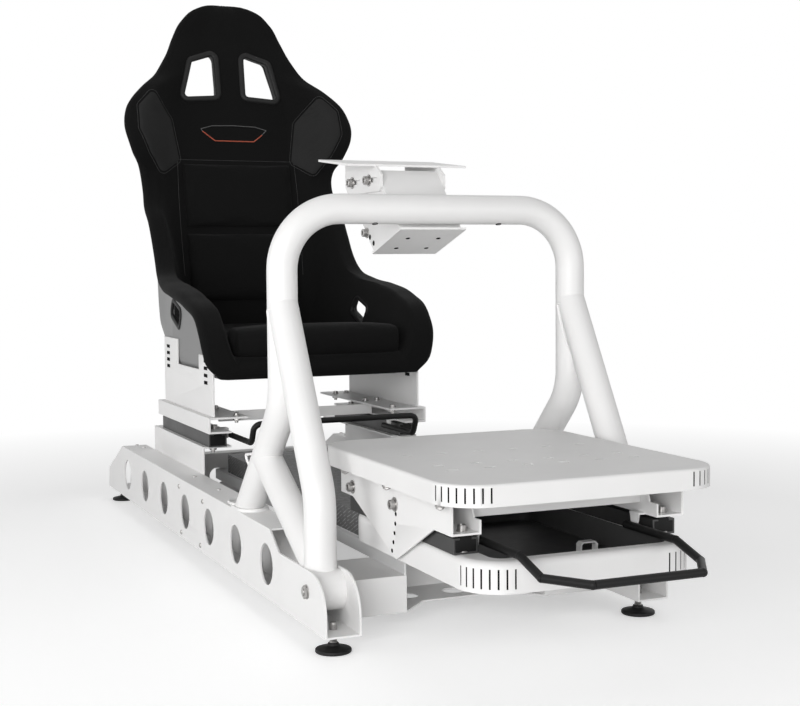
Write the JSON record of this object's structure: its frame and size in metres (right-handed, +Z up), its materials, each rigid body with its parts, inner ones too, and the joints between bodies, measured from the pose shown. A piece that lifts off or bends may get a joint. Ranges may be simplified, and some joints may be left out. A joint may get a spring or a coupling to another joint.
{
  "type": "sim racing cockpit",
  "caption": "Open steel racing-game cockpit with a tubular hoop for a wheel deck, a sliding pedal tray and a bucket seat on slide rails.",
  "frame": {"origin": "on the floor under the middle of the whole cockpit", "axes": "-Y is the front, where the pedals are, +X is the occupant's left, +Z is up"},
  "size_m": [0.6156, 1.9832, 1.2405],
  "materials": {
    "white_coat": "satin white powder coat",
    "black_coat": "satin black powder coat",
    "rail_steel": "dark phosphated steel",
    "zinc_bolts": "zinc plated",
    "foot_plastic": "matt black",
    "seat_shell": "fine textured grey",
    "seat_fabric": "woven black upholstery"
  },
  "bodies": {
    "frame": {"side_beam_right": "white_coat", "side_beam_left": "white_coat", "front_foot_right": "foot_plastic", "front_foot_left": "foot_plastic", "rear_foot_right": "foot_plastic", "rear_foot_left": "foot_plastic", "hoop": "white_coat", "front_leg_right": "white_coat", "front_leg_left": "white_coat", "cross_brace_right": "white_coat", "cross_brace_left": "white_coat", "leg_pivot_bolts": "zinc_bolts", "front_cross_member": "white_coat", "rear_cross_member": "white_coat", "centre_tunnel": "white_coat", "tray_riser": "white_coat", "lower_pedal_tray": "white_coat", "pedal_rail_right": "rail_steel", "pedal_rail_left": "rail_steel", "wheel_channel": "white_coat", "wheel_lower_plate": "white_coat", "wheel_clamp_bolts": "zinc_bolts", "seat_base_right": "white_coat", "seat_base_left": "white_coat", "seat_rail_right": "rail_steel", "seat_rail_left": "rail_steel"},
    "pedal_carriage": {"pedal_slider_right": "rail_steel", "pedal_slider_left": "rail_steel", "pedal_side_plate_right": "white_coat", "pedal_side_plate_left": "white_coat", "pedal_cross_plate": "white_coat", "pedal_tray": "white_coat"},
    "pedal_handle": {"pedal_release_handle": "black_coat"},
    "wheel_mount": {"wheel_deck": "white_coat"},
    "seat_carriage": {"seat_slider_right": "rail_steel", "seat_slider_left": "rail_steel", "seat_bracket_right": "white_coat", "seat_bracket_left": "white_coat", "seat_side_plate_right": "white_coat", "seat_side_plate_left": "white_coat", "seat_cross_bar": "white_coat", "seat_shell": "seat_shell", "back_pad": "seat_fabric", "headrest_pad": "seat_fabric", "seat_cushion": "seat_fabric", "side_bolster_right": "seat_fabric", "side_bolster_left": "seat_fabric"},
    "seat_handle": {"seat_release_handle": "black_coat"}
  },
  "joints": [
    {"name": "pedal_slide", "type": "slide", "parent": "frame", "child": "pedal_carriage", "axis": [0, -1, 0], "range_m": [0, 0.15]},
    {"name": "pedal_handle_lift", "type": "hinge", "parent": "pedal_carriage", "child": "pedal_handle", "pos_m": [0, -0.74835, 0.196], "axis": [-1, 0, 0], "range_deg": [0, 6], "stiffness_Nm_per_rad": 10},
    {"name": "wheel_deck_slide", "type": "slide", "parent": "frame", "child": "wheel_mount", "axis": [0, 1, 0], "range_m": [0, 0.033]},
    {"name": "seat_slide", "type": "slide", "parent": "frame", "child": "seat_carriage", "axis": [0, 1, 0], "range_m": [-0.08, 0.12]},
    {"name": "seat_handle_lift", "type": "hinge", "parent": "seat_carriage", "child": "seat_handle", "pos_m": [0, 0.31865, 0.229], "axis": [-1, 0, 0], "range_deg": [0, 5], "stiffness_Nm_per_rad": 10}
  ]
}
